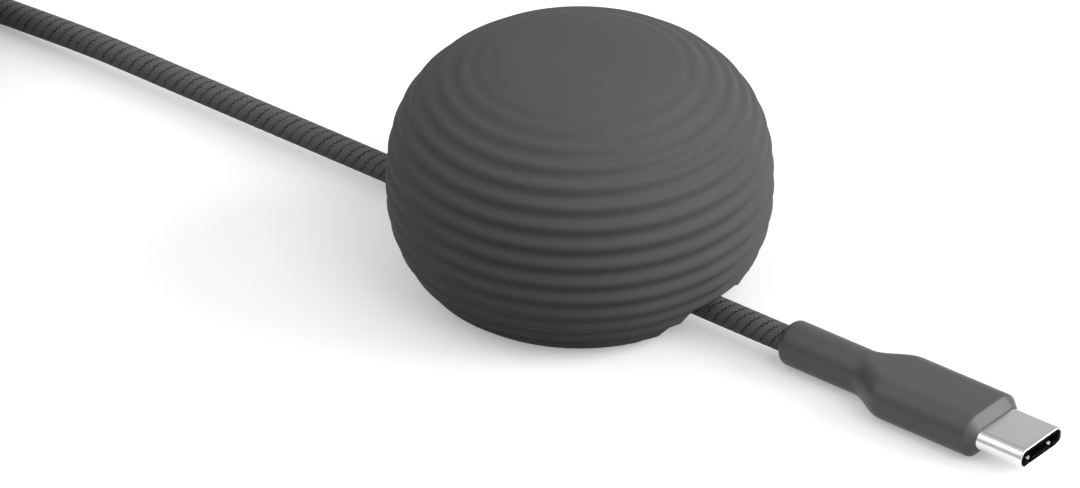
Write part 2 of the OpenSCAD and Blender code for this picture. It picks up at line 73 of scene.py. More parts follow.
# Cord, as in the part's source
CORD_D = 3.4
CORD_R = CORD_D / 2
AXIS_Z = 2.85
PLUG_X = 32.4
STRAIGHT_END = -74.0
RUN_ROUTE = [
    (PLUG_X, 0, AXIS_Z), (18, 0, AXIS_Z), (4, 0, AXIS_Z), (-10, 0, AXIS_Z), (-24, 0, AXIS_Z),
    (-37, 0, AXIS_Z), (-50, 0, AXIS_Z), (-62, 0, AXIS_Z), (STRAIGHT_END, 0, AXIS_Z), (-80, 0, 2.7),
    (-86, 0, 2.4), (-91, 0, 2.1), (-97, 0, 1.8),
]
TAIL_ROUTE = [
    (-103, 3.2, 8.4), (-108, 4.6, 7.3), (-113, 5, 6.2), (-118, 4.3, 5.3), (-123, 2.4, 4.5),
    (-128, -0.9, 3.8), (-132.5, -4.9, 3.3), (-135.9, -9.4, 3), (-137.6, -13.2, 2.9),
    (-138, -16, AXIS_Z), (-138, -18, AXIS_Z),
]
COIL_R = 19.0
COIL_COLUMNS = 3
COIL_ROWS = 4
TURN_PITCH = 3.5
COIL_IN_R = COIL_R - (COIL_COLUMNS - 1) * TURN_PITCH / 2 - CORD_R
COIL_OUT_R = COIL_R + (COIL_COLUMNS - 1) * TURN_PITCH / 2 + CORD_R
COIL_H = (COIL_ROWS - 1) * TURN_PITCH + CORD_D
COIL_AT = (-108, CORD_R - COIL_OUT_R)
TIE_ANGLE = 250
TIE_W = 8.0
TIE_T = 0.8

# Plug, as in the part's source
BOOT_H = 5.7
BOOT_W = 10.6
BOOT_LEN = 31.1
RELIEF_LEN = 11.2
NECK_LEN = 5.8
BOOT_REAR_R = 0.9
FRONT_LEN = 1.1
FRONT_LIP = 0.15
SHELL_W = 8.34
SHELL_H = 2.56
SHELL_OUT = 6.75
SHELL_IN = 3.6
SHELL_T = 0.26
FIT = 0.03
LEAST_STRAIGHT = 0.02
PLUGS = {
    "near": Matrix.Translation((PLUG_X, 0, AXIS_Z)),
    "far": Matrix.Translation(TAIL_ROUTE[-1]) @ Matrix.Rotation(math.radians(-90), 4, "Z"),
}

# Camera
VIEW_AZIMUTH = 38.8
VIEW_ELEVATION = 32.1
VIEW_DISTANCE = 1500.0
VIEW_SCALE = 8.2
IMAGE_W = 1080
SENSOR_W = 36.0
CLIP_END = 20
AIM_RIGHT = -4.845
AIM_UP = 3.26


# Helpers

CURVE_STEPS = 24


def ease(t):
    """A smooth step from 0 to 1, level at both ends."""
    t = np.clip(t, 0, 1)
    return t * t * (3 - 2 * t)


def smooth_line(points, step):
    """Points every step along a smooth curve through the given points."""
    p = np.array(points, float)
    p = np.vstack([2 * p[0] - p[1], p, 2 * p[-1] - p[-2]])
    t = np.linspace(0, 1, CURVE_STEPS + 1)[:-1, None]
    dense = [
        0.5 * (2 * b + (c - a) * t + (2 * a - 5 * b + 4 * c - d) * t**2 + (3 * b - a - 3 * c + d) * t**3)
        for a, b, c, d in zip(p[:-3], p[1:-2], p[2:-1], p[3:])
    ]
    dense = np.vstack(dense + [p[-2:-1]])
    along = np.r_[0, np.cumsum(np.linalg.norm(np.diff(dense, axis=0), axis=1))]
    count = int(round(along[-1] / step)) + 1
    wanted = np.linspace(0, along[-1], count)
    return np.column_stack([np.interp(wanted, along, dense[:, k]) for k in range(3)])


def new_piece(name, vertices, faces, slot, body):
    """A smooth mesh object made from points in millimetres, in the finish of its slot, riding on a body."""
    mesh = bpy.data.meshes.new(name)
    mesh.from_pydata((np.asarray(vertices, float) * MM).tolist(), [], faces)
    mesh.validate()
    mesh.polygons.foreach_set("use_smooth", [True] * len(mesh.polygons))
    piece = bpy.data.objects.new(name, mesh)
    bpy.context.scene.collection.objects.link(piece)
    mesh.materials.append(M[slot])
    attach(piece, body)
    return piece


def loft_faces(rings, around, capped=False, joined=False):
    """Faces of a skin over rings of points, with a face on each end or the last ring joined to the first."""
    i = np.arange(rings if joined else rings - 1)[:, None]
    k = np.arange(around)[None, :]
    beside = (k + 1) % around
    here = i * around
    there = (i + 1) % rings * around
    faces = np.stack([here + k, here + beside, there + beside, there + k], axis=-1).reshape(-1, 4).tolist()
    if capped:
        faces.append(list(range(around))[::-1])
        faces.append([(rings - 1) * around + j for j in range(around)])
    return faces


# Materials

def new_material(name, colour, roughness, metallic=0.0, specular=0.5):
    """A material with one main shader."""
    material = bpy.data.materials.new(name)
    material.use_nodes = True
    shader = material.node_tree.nodes["Principled BSDF"]
    shader.inputs["Base Color"].default_value = (*colour, 1)
    shader.inputs["Roughness"].default_value = roughness
    shader.inputs["Metallic"].default_value = metallic
    shader.inputs["Specular IOR Level"].default_value = specular
    return material


class Nodes:
    """Short ways to add and join a material's nodes."""

    def __init__(self, material):
        self.tree = material.node_tree
        self.shader = self.tree.nodes["Principled BSDF"]

    def add(self, kind, **settings):
        node = self.tree.nodes.new(kind)
        for key, value in settings.items():
            setattr(node, key, value)
        return node

    def join(self, output, target):
        """Sets a socket to a number or links an output to it."""
        if isinstance(output, (int, float)):
            target.default_value = output
        else:
            self.tree.links.new(output, target)

    def math(self, operation, a, b=0.0):
        node = self.add("ShaderNodeMath", operation=operation)
        self.join(a, node.inputs[0])
        self.join(b, node.inputs[1])
        return node.outputs[0]

    def from_middle(self, share):
        """How far a share between 0 and 1 is from its middle: 0 there and 1 at both ends."""
        return self.math("MULTIPLY", self.math("ABSOLUTE", self.math("SUBTRACT", share, 0.5)), 2.0)

    def place(self):
        return self.add("ShaderNodeTexCoord").outputs["Object"]

    def noise(self, scale, detail=2.0, roughness=0.5, vector=None):
        node = self.add("ShaderNodeTexNoise")
        self.join(vector or self.place(), node.inputs["Vector"])
        node.inputs["Scale"].default_value = scale
        node.inputs["Detail"].default_value = detail
        node.inputs["Roughness"].default_value = roughness
        return node.outputs["Fac"]

    def ramp(self, factor, low, high, from_min=0.0, from_max=1.0):
        node = self.add("ShaderNodeMapRange")
        self.join(factor, node.inputs["Value"])
        node.inputs["From Min"].default_value = from_min
        node.inputs["From Max"].default_value = from_max
        node.inputs["To Min"].default_value = low
        node.inputs["To Max"].default_value = high
        return node.outputs["Result"]

    def mix(self, factor, low, high):
        node = self.add("ShaderNodeMix", data_type="RGBA")
        self.join(factor, node.inputs["Factor"])
        node.inputs["A"].default_value = (*low, 1)
        node.inputs["B"].default_value = (*high, 1)
        return node.outputs["Result"]

    def bump(self, height, distance, strength=1.0):
        node = self.add("ShaderNodeBump")
        self.join(height, node.inputs["Height"])
        node.inputs["Distance"].default_value = distance
        node.inputs["Strength"].default_value = strength
        return node.outputs["Normal"]

    def colour(self, output):
        self.join(output, self.shader.inputs["Base Color"])

    def roughness(self, output):
        self.join(output, self.shader.inputs["Roughness"])

    def normal(self, output):
        self.join(output, self.shader.inputs["Normal"])


# Plain and moulded finishes by slot: colour, roughness, scale of the grain, its depth in microns, share by
# which the colour varies, metallic, specular
FINISHES = {
    "silicone": ((0.086, 0.086, 0.089), 0.65, 1800, 10, 0.04, 0.0, 0.12),
    "cast_metal": ((0.30, 0.30, 0.31), 0.50, 1500, 80, 0.20, 1.0, 0.5),
    "base_plastic": ((0.03, 0.03, 0.032), 0.55, 3500, 40, 0.10, 0.0, 0.5),
    "clip_plastic": ((0.02, 0.02, 0.021), 0.45, 3000, 20, 0.10, 0.0, 0.5),
    "screw_steel": ((0.50, 0.50, 0.51), 0.30, 2500, 10, 0.08, 1.0, 0.5),
    "pad_rubber": ((0.02, 0.02, 0.02), 0.90, 2600, 100, 0.30, 0.0, 0.2),
    "boot_plastic": ((0.078, 0.078, 0.082), 0.42, 3200, 12, 0.05, 0.0, 0.5),
    # The housing is black plastic, darkened far past its own colour and nearly without gloss as painted shade
    # deep in the plug's mouth
    "housing_plastic": ((0.0015, 0.0015, 0.0015), 0.70, 3500, 10, 0.10, 0.0, 0.05),
    "contact_gold": ((0.80, 0.60, 0.28), 0.22, 3000, 4, 0.05, 1.0, 0.5),
    "spring_steel": ((0.72, 0.72, 0.73), 0.25, 3000, 4, 0.05, 1.0, 0.5),
    "circuit_card": ((0.03, 0.15, 0.08), 0.35, 2400, 10, 0.15, 0.0, 0.5),
    "chip_resin": ((0.02, 0.02, 0.02), 0.50, 3000, 10, 0.10, 0.0, 0.5),
    "inner_plastic": ((0.18, 0.18, 0.19), 0.50, 2500, 20, 0.08, 0.0, 0.5),
    "ferrule_brass": ((0.60, 0.45, 0.22), 0.30, 2500, 10, 0.08, 1.0, 0.5),
    "wire_insulation": ((0.45, 0.05, 0.04), 0.40, 2500, 10, 0.05, 0.0, 0.5),
}
BLOTCH_SCALE = 180
GLOSS_SCALE = 420
GLOSS_SPREAD = 0.06


def plain_material(name, colour, roughness, grain, depth, variation, metallic, specular):
    """A moulded or plain surface: faint blotches of colour, a little uneven gloss and a fine grain."""
    material = new_material(name, colour, roughness, metallic, specular)
    n = Nodes(material)
    low = [c * (1 - variation) for c in colour]
    high = [min(c * (1 + variation), 1) for c in colour]
    n.colour(n.mix(n.noise(BLOTCH_SCALE, detail=3), low, high))
    n.roughness(n.ramp(n.noise(GLOSS_SCALE, detail=3), roughness - GLOSS_SPREAD, roughness + GLOSS_SPREAD))
    n.normal(n.bump(n.noise(grain, detail=3, roughness=0.6), depth * MICRON))
    return material


STREAK_STRETCH = 0.12


def steel_material():
    """Drawn and nickel-plated steel, with faint streaks along X, as the near plug lies."""
    material = new_material("shell_steel", (0.80, 0.80, 0.81), 0.25, metallic=1.0)
    n = Nodes(material)
    stretch = n.add("ShaderNodeMapping")
    n.join(n.place(), stretch.inputs["Vector"])
    stretch.inputs["Scale"].default_value = (STREAK_STRETCH, 1, 1)
    streaks = n.noise(scale=2600, detail=4, roughness=0.6, vector=stretch.outputs["Vector"])
    n.colour(n.mix(streaks, low=(0.76, 0.76, 0.77), high=(0.84, 0.84, 0.85)))
    n.roughness(n.ramp(streaks, low=0.21, high=0.29))
    n.normal(n.bump(streaks, distance=3 * MICRON))
    return material


BRAID_PITCH = 1.45
BRAID_STARTS = 4
YARNS_ROUND = 16
YARN_LEAN = 1.0
# Shares of the pitch by which a seam wanders and by which the yarns' ends serrate it
SEAM_WOBBLE = 0.22
SEAM_TEETH = 0.21
# How much more the yarns wander than the seams, how dark the painted shade in the gaps between them gets, and
# how far the fibres stand out
YARN_WOBBLE = 4.0
YARN_GAP_SHADE = 0.12
FIBRE_HEIGHT = 0.25


def braid_material():
    """Tight nylon braid: serrated seams between leaning bands of short parallel yarns, with shade painted
    near black into the seams and the gaps between the yarns.
    """
    material = new_material("braid", (0.09, 0.09, 0.093), 0.7, specular=0.35)
    n = Nodes(material)
    uv = n.add("ShaderNodeUVMap", uv_map="braid").outputs["UV"]
    split = n.add("ShaderNodeSeparateXYZ")
    n.join(uv, split.inputs[0])
    around, along = split.outputs[0], split.outputs[1]
    wobble = n.ramp(n.noise(scale=900, detail=3), low=-SEAM_WOBBLE, high=SEAM_WOBBLE)

    yarns = n.math("MULTIPLY", around, float(YARNS_ROUND))
    yarns = n.math("SUBTRACT", yarns, n.math("MULTIPLY", along, YARN_LEAN))
    yarns = n.math("ADD", yarns, n.math("MULTIPLY", wobble, YARN_WOBBLE))
    from_yarn = n.from_middle(n.math("FRACT", yarns))
    teeth = n.math("MULTIPLY", n.math("SUBTRACT", from_yarn, 0.5), SEAM_TEETH)

    bands = n.math("ADD", along, n.math("MULTIPLY", around, float(BRAID_STARTS)))
    bands = n.math("ADD", n.math("ADD", bands, teeth), wobble)
    from_band = n.from_middle(n.math("FRACT", bands))

    # Painted shade: the colour turns near black in the seams and in the gaps between the yarns, where shade
    # falls in the braid's grooves
    patchy = n.ramp(n.noise(scale=700, detail=2), low=0.6, high=1.0, from_min=0.35, from_max=0.6)
    seam = n.math("MULTIPLY", n.ramp(from_band, low=0.0, high=1.0, from_min=0.70, from_max=0.94), patchy)
    gap_shade = n.ramp(from_yarn, low=0.0, high=1.0, from_min=0.6, from_max=1.0)
    shade = n.math("MAXIMUM", seam, n.math("MULTIPLY", gap_shade, YARN_GAP_SHADE))
    fibre = n.noise(scale=5200, detail=3, roughness=0.7)
    n.colour(n.mix(shade, low=(0.116, 0.116, 0.119), high=(0.010, 0.010, 0.011)))
    n.roughness(n.ramp(fibre, low=0.6, high=0.8))
    height = n.math("SUBTRACT", n.math("MULTIPLY", fibre, FIBRE_HEIGHT), shade)
    n.normal(n.bump(height, distance=80 * MICRON, strength=0.8))
    return material


def strap_material():
    """Woven hook-and-loop strap."""
    material = new_material("strap", (0.03, 0.03, 0.032), 0.85, specular=0.2)
    n = Nodes(material)
    loops = n.add("ShaderNodeTexVoronoi")
    n.join(n.place(), loops.inputs["Vector"])
    loops.inputs["Scale"].default_value = 2200
    distance = loops.outputs["Distance"]
    n.colour(n.mix(distance, low=(0.05, 0.05, 0.053), high=(0.015, 0.015, 0.016)))
    n.roughness(n.ramp(distance, low=0.75, high=0.95))
    n.normal(n.bump(n.math("ADD", distance, n.noise(scale=6000, detail=3)), distance=120 * MICRON))
    return material


M = {name: plain_material(name, *finish) for name, finish in FINISHES.items()}
M["shell_steel"] = steel_material()
M["braid"] = braid_material()
M["strap"] = strap_material()


def finish_cad_nodes():
    """Every CAD node gets the finish of its slot."""
    slot_of = {s["node"]: s["material_slot"] for s in frame["record"]["subparts"]}
    for name, node in frame["nodes"].items():
        node.data.materials.clear()
        node.data.materials.append(M[slot_of[name]])


# Camera, floor and light

def view_axes():
    """Unit vectors to the right, up and back to the camera."""
    a, e = math.radians(VIEW_AZIMUTH), math.radians(VIEW_ELEVATION)
    right = Vector((math.cos(a), math.sin(a), 0))
    back = Vector((math.sin(a) * math.cos(e), -math.cos(a) * math.cos(e), math.sin(e)))
    return right, back.cross(right), back


def add_camera():
    right, up, back = view_axes()
    aim = right * AIM_RIGHT + up * AIM_UP
    data = bpy.data.cameras.new("camera")
    data.sensor_width = SENSOR_W
    data.lens = VIEW_SCALE * VIEW_DISTANCE * SENSOR_W / IMAGE_W
    data.clip_end = CLIP_END
    camera = bpy.data.objects.new("camera", data)
    bpy.context.scene.collection.objects.link(camera)
    turn = Matrix((right, up, back)).transposed().to_4x4()
    camera.matrix_world = Matrix.Translation((aim + back * VIEW_DISTANCE) * MM) @ turn
    bpy.context.scene.camera = camera


# Floor: half its side in metres, its shade and glow where it is seen, and how much light bounces off it
FLOOR_HALF = 6.0
FLOOR_SEEN = 0.81
FLOOR_GLOW = 0.30
FLOOR_BOUNCE = 0.08
# Round lamps: place and width in metres, power in watts
LAMPS = {
    "side": ((1.475, 1.057, 0.845), 1.3, 30.5),
    "front": ((1.41, -0.153, 1.41), 1.6, 14.0),
    "fill": ((-1.06, -0.86, 1.48), 1.4, 5.2),
}
AMBIENT = 0.63
# The studio round the object, by the sine of the height above the horizon: pale walls that brighten upwards,
# a dark frame, and a bright ceiling panel
STUDIO = (
    (0.0, 0.6), (0.25, 0.8), (0.42, 1.0), (0.62, 1.0),
    (0.67, 0.35), (0.74, 0.35),
    (0.79, 1.0), (1.0, 1.0),
)


def floor_material():
    """Pale where the camera or a reflection sees it, and dark to the light that bounces off it."""
    material = bpy.data.materials.new("floor")
    material.use_nodes = True
    tree = material.node_tree
    tree.nodes.clear()

    def diffuse(level):
        node = tree.nodes.new("ShaderNodeBsdfDiffuse")
        node.inputs["Color"].default_value = (level, level, level, 1)
        return node.outputs[0]

    def join(kind, first, second):
        node = tree.nodes.new(kind)
        tree.links.new(first, node.inputs[0])
        tree.links.new(second, node.inputs[1])
        return node

    glow = tree.nodes.new("ShaderNodeEmission")
    glow.inputs["Strength"].default_value = FLOOR_GLOW
    seen = join("ShaderNodeAddShader", diffuse(FLOOR_SEEN), glow.outputs[0])
    rays = tree.nodes.new("ShaderNodeLightPath").outputs
    direct = join("ShaderNodeMath", rays["Is Camera Ray"], rays["Is Glossy Ray"])
    direct.operation = "MAXIMUM"
    sees_floor = join("ShaderNodeMath", direct.outputs[0], rays["Is Transmission Ray"])
    sees_floor.operation = "MAXIMUM"
    choice = tree.nodes.new("ShaderNodeMixShader")
    tree.links.new(sees_floor.outputs[0], choice.inputs["Fac"])
    tree.links.new(diffuse(FLOOR_BOUNCE), choice.inputs[1])
    tree.links.new(seen.outputs[0], choice.inputs[2])
    output = tree.nodes.new("ShaderNodeOutputMaterial")
    tree.links.new(choice.outputs[0], output.inputs["Surface"])
    return material


def add_floor():
    """A pale floor that looks near white and still takes the object's shadow."""
    mesh = bpy.data.meshes.new("floor")
    corners = [(x * FLOOR_HALF, y * FLOOR_HALF, 0) for x, y in ((-1, -1), (1, -1), (1, 1), (-1, 1))]
    mesh.from_pydata(corners, [], [(0, 1, 2, 3)])
    floor = bpy.data.objects.new("floor", mesh)
    bpy.context.scene.collection.objects.link(floor)
    mesh.materials.append(floor_material())


def add_lamp(name, spot, width, power):
    """A round lamp that faces the middle of the scene."""
    data = bpy.data.lights.new(name, "AREA")
    data.shape = "DISK"
    data.size = width
    data.energy = power
    lamp = bpy.data.objects.new(name, data)
    bpy.context.scene.collection.objects.link(lamp)
    lamp.location = spot
    lamp.rotation_euler = Vector(spot).to_track_quat("Z", "Y").to_euler()


def add_studio():
    """The light that comes from all round."""
    world = bpy.data.worlds.new("world")
    bpy.context.scene.world = world
    world.use_nodes = True
    tree = world.node_tree
    background = tree.nodes["Background"]
    background.inputs["Strength"].default_value = AMBIENT
    direction = tree.nodes.new("ShaderNodeTexCoord")
    split = tree.nodes.new("ShaderNodeSeparateXYZ")
    studio = tree.nodes.new("ShaderNodeValToRGB")
    stops = studio.color_ramp.elements
    for position, level in STUDIO:
        stop = stops.new(position)
        stop.color = (level, level, level, 1)
    stops.remove(stops[-1])
    stops.remove(stops[0])
    tree.links.new(direction.outputs["Generated"], split.inputs[0])
    tree.links.new(split.outputs[2], studio.inputs["Fac"])
    tree.links.new(studio.outputs["Color"], background.inputs["Color"])


def add_light():
    for name, (spot, width, power) in LAMPS.items():
        add_lamp(name, spot, width, power)
    add_studio()
    bpy.context.scene.view_settings.view_transform = "Standard"


# Cord

CORD_SIDES = 24
ROUTE_STEP = 0.05
FINE_STEP = 0.17
COARSE_STEP = 0.45
BRAID_DEPTH = 0.06
SEAM_POWER = 5
# Angles of the coil, in degrees: where the cord comes in, how long it takes to move to its next place, how
# much sooner it moves after each change between moving across and up, how far the last turn goes on after its
# move, and the steps
COIL_ENTRY = 90.0
MOVE_SPAN = 96.0
MOVE_LEAD = 33.0
LAST_STRETCH = 233
COIL_STEP = 8.0
# Angles over which the last turn swings out to the tail and comes down to it
OUT_SPAN = 70
DOWN_SPAN = 50
# Angle from the strap at which the cord starts to rise onto it, and the angle over which it does
TIE_REACH = 42
TIE_RISE_SPAN = 26


def coil_line():
    """The coil's turns: down in the outer column, and back and forth over the rows to the top."""
    columns = [COIL_OUT_R - CORD_R - TURN_PITCH * c for c in range(COIL_COLUMNS)]
    places = []
    for row in range(COIL_ROWS):
        order = columns if row % 2 == 0 else columns[::-1]
        places += [(r, CORD_R + row * TURN_PITCH) for r in order]
    moves = []
    for turn in range(len(places) - 1):
        row = turn // COIL_COLUMNS
        stage = 2 * row + (1 if turn % COIL_COLUMNS == COIL_COLUMNS - 1 else 0)
        moves.append((COIL_ENTRY + 360 * (turn + 1) - MOVE_SPAN / 2 - MOVE_LEAD * stage, turn))
    end_angle = moves[-1][0] + LAST_STRETCH
    angle = np.arange(COIL_ENTRY, end_angle, COIL_STEP)
    radius = np.full(len(angle), places[0][0])
    height = np.full(len(angle), places[0][1])
    for middle, turn in moves:
        share = ease((angle - middle) / MOVE_SPAN + 0.5)
        radius += share * (places[turn + 1][0] - places[turn][0])
        height += share * (places[turn + 1][1] - places[turn][1])
    end = Vector(TAIL_ROUTE[0])
    outwards = ease((angle - end_angle) / OUT_SPAN + 1)
    radius += outwards * (math.hypot(end.x - COIL_AT[0], end.y - COIL_AT[1]) - places[-1][0])
    height += ease((angle - end_angle) / DOWN_SPAN + 1) * (end.z - places[-1][1])
    from_tie = np.abs((angle - TIE_ANGLE + 180) % 360 - 180)
    height += TIE_T * ease((TIE_REACH - from_tie) / TIE_RISE_SPAN)
    a = np.radians(angle)
    return np.column_stack([COIL_AT[0] + radius * np.cos(a), COIL_AT[1] + radius * np.sin(a), height])


def cord_line():
    """The whole cord's centreline: fine steps where it lies straight, coarser ones from there on."""
    whole = smooth_line([*RUN_ROUTE, *coil_line().tolist(), *TAIL_ROUTE[1:]], ROUTE_STEP)
    along = np.r_[0, np.cumsum(np.linalg.norm(np.diff(whole, axis=0), axis=1))]
    fine_end = PLUG_X - STRAIGHT_END
    wanted = np.r_[
        np.arange(0, fine_end, FINE_STEP),
        np.linspace(fine_end, along[-1], int((along[-1] - fine_end) / COARSE_STEP)),
    ]
    line = np.column_stack([np.interp(wanted, along, whole[:, k]) for k in range(3)])
    return line, wanted


def line_frames(line):
    """Unit vectors across a line, kept level, and above it."""
    ahead = np.gradient(line, axis=0)
    ahead /= np.linalg.norm(ahead, axis=1)[:, None]
    across = np.cross([0, 0, 1.0], ahead)
    across /= np.linalg.norm(across, axis=1)[:, None]
    return across, np.cross(ahead, across)


def braid_height(around, along):
    """Height of the braid, 0 in a seam and 1 on a band, at a share of the way round and a distance along."""
    band = (along / BRAID_PITCH + BRAID_STARTS * around) % 1.0
    from_middle = np.abs(band - 0.5) * 2
    return 1 - from_middle**SEAM_POWER


def add_braid_uv(cord, along):
    """A map round and along the cord, in turns and in pitches of the braid."""
    uv = cord.data.uv_layers.new(name="braid")
    corner = np.zeros(len(cord.data.loops), int)
    cord.data.loops.foreach_get("vertex_index", corner)
    u = (corner % CORD_SIDES) / CORD_SIDES
    v = along[corner // CORD_SIDES] / BRAID_PITCH
    # The faces that close each ring end at 1, and don't run back to 0
    quad_corners = 4 * (len(along) - 1) * CORD_SIDES
    quads = u[:quad_corners].reshape(-1, 4)
    closing = np.ptp(quads, axis=1) > 0.5
    quads[closing] = np.where(quads[closing] == 0, 1, quads[closing])
    uv.data.foreach_set("uv", np.column_stack([u, v]).reshape(-1))


def make_cord():
    """The whole braided cord as one piece, from boot to boot."""
    line, along = cord_line()
    across, above = line_frames(line)
    side = np.arange(CORD_SIDES) / CORD_SIDES
    angle = 2 * np.pi * side
    radius = CORD_R - BRAID_DEPTH * (1 - braid_height(side[None, :], along[:, None]))
    cosine, sine = np.cos(angle)[None, :, None], np.sin(angle)[None, :, None]
    ring = cosine * across[:, None, :] + sine * above[:, None, :]
    vertices = line[:, None, :] + radius[:, :, None] * ring
    faces = loft_faces(len(line), CORD_SIDES, capped=True)
    cord = new_piece("braided_cord", vertices.reshape(-1, 3), faces, "braid", "cable")
    add_braid_uv(cord, along)
    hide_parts("cord_run", "cord_coil", "cord_tail")
    return cord, line, along[-1]


TIE_CORNER_R = 1.4
TIE_CORNER_STEPS = 8
TIE_EDGE = 0.18


def tie_loop(grow):
    """The strap's outline round the coil's section, at a distance out from its inner face."""
    corners = [
        (COIL_IN_R, TIE_T, 1, 1, 180),
        (COIL_OUT_R, TIE_T, -1, 1, 270),
        (COIL_OUT_R, TIE_T + COIL_H, -1, -1, 0),
        (COIL_IN_R, TIE_T + COIL_H, 1, -1, 90),
    ]
    points = []
    for x, z, inward_x, inward_z, start in corners:
        middle_x, middle_z = x + inward_x * TIE_CORNER_R, z + inward_z * TIE_CORNER_R
        for step in range(TIE_CORNER_STEPS + 1):
            a = math.radians(start + 90 * step / TIE_CORNER_STEPS)
            r = TIE_CORNER_R + grow
            points.append((middle_x + r * math.cos(a), middle_z + r * math.sin(a)))
    return points


def make_tie():
    """The strap round the coil: a closed band with round corners and softened edges."""
    half, soft = TIE_W / 2, TIE_W / 2 - TIE_EDGE
    section = [
        (0, soft), (0, -soft), (TIE_EDGE, -half), (TIE_T - TIE_EDGE, -half),
        (TIE_T, -soft), (TIE_T, soft), (TIE_T - TIE_EDGE, half), (TIE_EDGE, half),
    ]
    turn = Matrix.Translation((*COIL_AT, 0)) @ Matrix.Rotation(math.radians(TIE_ANGLE), 4, "Z")
    vertices = [list(turn @ Vector((x, y, z))) for grow, y in section for x, z in tie_loop(grow)]
    faces = loft_faces(len(section), 4 * (TIE_CORNER_STEPS + 1), joined=True)
    tie = new_piece("coil_strap", vertices, faces, "strap", "cable")
    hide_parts("cord_tie")
    return tie


# Weight

OUTLINE_STEPS = 4000
# Soft lip round the foot and the arches
LIP_W = 0.75
LIP_ROWS = 6
# Foot inside the lip: its least width, how far it reaches past the base, and its least height
LEAST_WALL = 0.9
FOOT_IN = 0.05
LEDGE_RISE = 0.3
# Rows of points up the outside and the inside
OUTER_ROWS = 190
INNER_ROWS = 16
# How much of the outline is searched for the rim, and in how many steps
RIM_SCAN = 9
RIM_SCAN_STEPS = 600
# Distance on both sides of a point from which its direction is taken
PROBE = 0.25
# Angles round the cover, closer together over the arches
ARCH_SPAN = 27
ARCH_TURN_STEP = 0.75
TURN_STEP = 1.5
# Sine of the angle from the X axis within which a section can meet an arch
ARCH_SINE = 0.5


def cover_outline():
    """Dense points of the smooth outline from the foot to the top, and their distance along it."""
    lower_h = BELLY_Z / (1 - (FOOT_R / COVER_R) ** LOWER_FULLNESS) ** (1 / LOWER_FULLNESS)
    foot_angle = math.asin((BELLY_Z / lower_h) ** (LOWER_FULLNESS / 2))
    t = np.linspace(foot_angle, 0, OUTLINE_STEPS)[:-1]
    flank = np.column_stack([
        COVER_R * np.cos(t) ** (2 / LOWER_FULLNESS),
        BELLY_Z - lower_h * np.sin(t) ** (2 / LOWER_FULLNESS),
    ])
    t = np.linspace(0, np.pi / 2, OUTLINE_STEPS)
    cosine = np.clip(np.cos(t), 0, 1)
    crown = np.column_stack([
        COVER_R * cosine ** (2 / UPPER_FULLNESS),
        BELLY_Z + (COVER_H - BELLY_Z) * np.sin(t) ** (2 / UPPER_FULLNESS),
    ])
    line = np.vstack([flank, crown])
    along = np.r_[0, np.cumsum(np.linalg.norm(np.diff(line, axis=0), axis=1))]
    return line, along


OUTLINE, OUTLINE_ALONG = cover_outline()
OUTLINE_END = OUTLINE_ALONG[-1]


def outline_point(s):
    """Points of the smooth outline, at distances along it from the foot."""
    return np.column_stack([np.interp(s, OUTLINE_ALONG, OUTLINE[:, k]) for k in range(2)])


def outward(s):
    """Unit vectors that point out of the outline."""
    d = outline_point(np.minimum(s + PROBE, OUTLINE_END)) - outline_point(np.maximum(s - PROBE, 0))
    d /= np.linalg.norm(d, axis=1)[:, None]
    return np.column_stack([d[:, 1], -d[:, 0]])


def ribbed_point(s):
    """Points of the outline with its ribs, which fade towards the foot and the top."""
    p = outline_point(s)
    fade = ease((p[:, 0] - SMOOTH_TOP_R) / RIB_FADE) * ease(s / FOOT_EDGE_R)
    groove = RIB_DEPTH * np.cos(np.pi * (s - RIB_START) / RIB_PITCH) ** 2 * fade
    return p - groove[:, None] * outward(s)


def arch_height(y):
    """Height of the arch above the desk, at a distance from its middle."""
    share = (np.abs(y) - ARCH_TOP_HALF) / (ARCH_FOOT_HALF - ARCH_TOP_HALF)
    return ARCH_H * (1 - ease(share))


def cover_section(a):
    """Radius and height of the cover's wall at an angle round it: down the inside, over the lip and up."""
    meets_arch = abs(math.sin(a)) < ARCH_SINE

    def rim_height(r):
        return arch_height(r * math.sin(a)) * meets_arch

    scan = np.linspace(0, RIM_SCAN, RIM_SCAN_STEPS)
    scan_points = ribbed_point(scan)
    start = scan[np.argmax(scan_points[:, 1] >= rim_height(scan_points[:, 0]))]
    corner = ribbed_point(np.array([start]))[0]
    outer = ribbed_point(np.linspace(0, 1, OUTER_ROWS) * (OUTLINE_END - start - LIP_W) + start + LIP_W)

    foot_out_r = corner[0] - LIP_W
    foot_out = [foot_out_r, rim_height(foot_out_r)]
    t = np.linspace(0, 1, LIP_ROWS + 2)[1:-1, None]
    lip = (1 - t) ** 2 * foot_out + 2 * t * (1 - t) * corner + t**2 * outer[0]

    foot_in_r = corner[0] - max(corner[0] - BASE_R, LEAST_WALL) - FOOT_IN
    foot_in = [foot_in_r, rim_height(foot_in_r)]
    ledge_z = max(BASE_TOP, foot_in[1] + LEDGE_RISE)
    inner_start = np.interp(ledge_z + LEDGE_RISE, OUTLINE[:, 1], OUTLINE_ALONG)
    inner_s = np.linspace(inner_start, OUTLINE_END, INNER_ROWS)
    inner = outline_point(inner_s) - COVER_WALL * outward(inner_s)
    inner[:, 0] = np.maximum(inner[:, 0], 0)
    inside = np.vstack([inner[::-1], [[foot_in_r, ledge_z]], [foot_in]])
    inside[0, 0] = outer[-1, 0] = 0.0
    section = np.vstack([inside, [foot_out], lip, outer])
    section[:, 1] = np.maximum(section[:, 1], 0)
    return section


